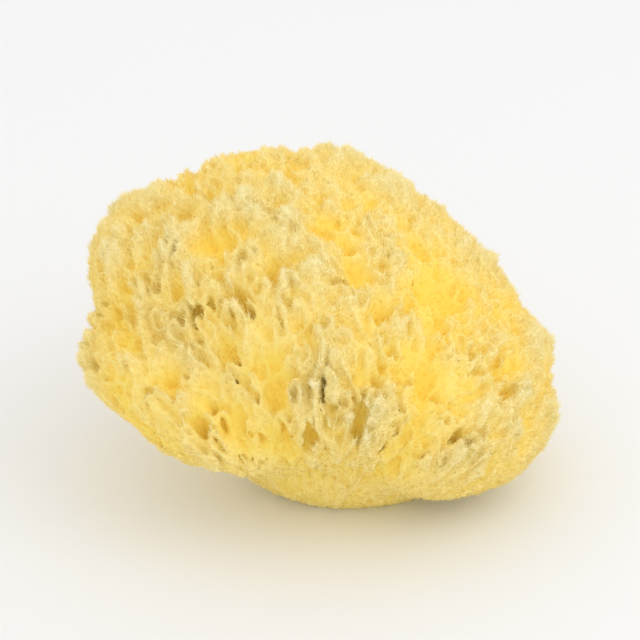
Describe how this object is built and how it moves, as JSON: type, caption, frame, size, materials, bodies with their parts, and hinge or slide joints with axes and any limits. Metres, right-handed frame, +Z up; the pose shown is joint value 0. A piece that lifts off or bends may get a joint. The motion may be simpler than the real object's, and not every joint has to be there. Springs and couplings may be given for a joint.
{
  "type": "sea sponge",
  "caption": "Natural sea sponge: a leaning, rounded clump of soft tufts and pits, folded over at its lower left and cut off flat underneath, where it rests.",
  "frame": {"origin": "middle of the box around the sponge, on the flat cut that it rests on", "axes": "+Z up out of the cut, +X to the viewer's right along the sponge's longest side, -Y towards the viewer of the picture"},
  "size_m": [0.1521, 0.1234, 0.1073],
  "materials": {
    "sponge_skeleton": "matt dry sponge skeleton, pale cream yellow at the tips of its tufts and golden yellow in its pits"
  },
  "bodies": {
    "root": {"sponge": "sponge_skeleton"}
  },
  "joints": []
}
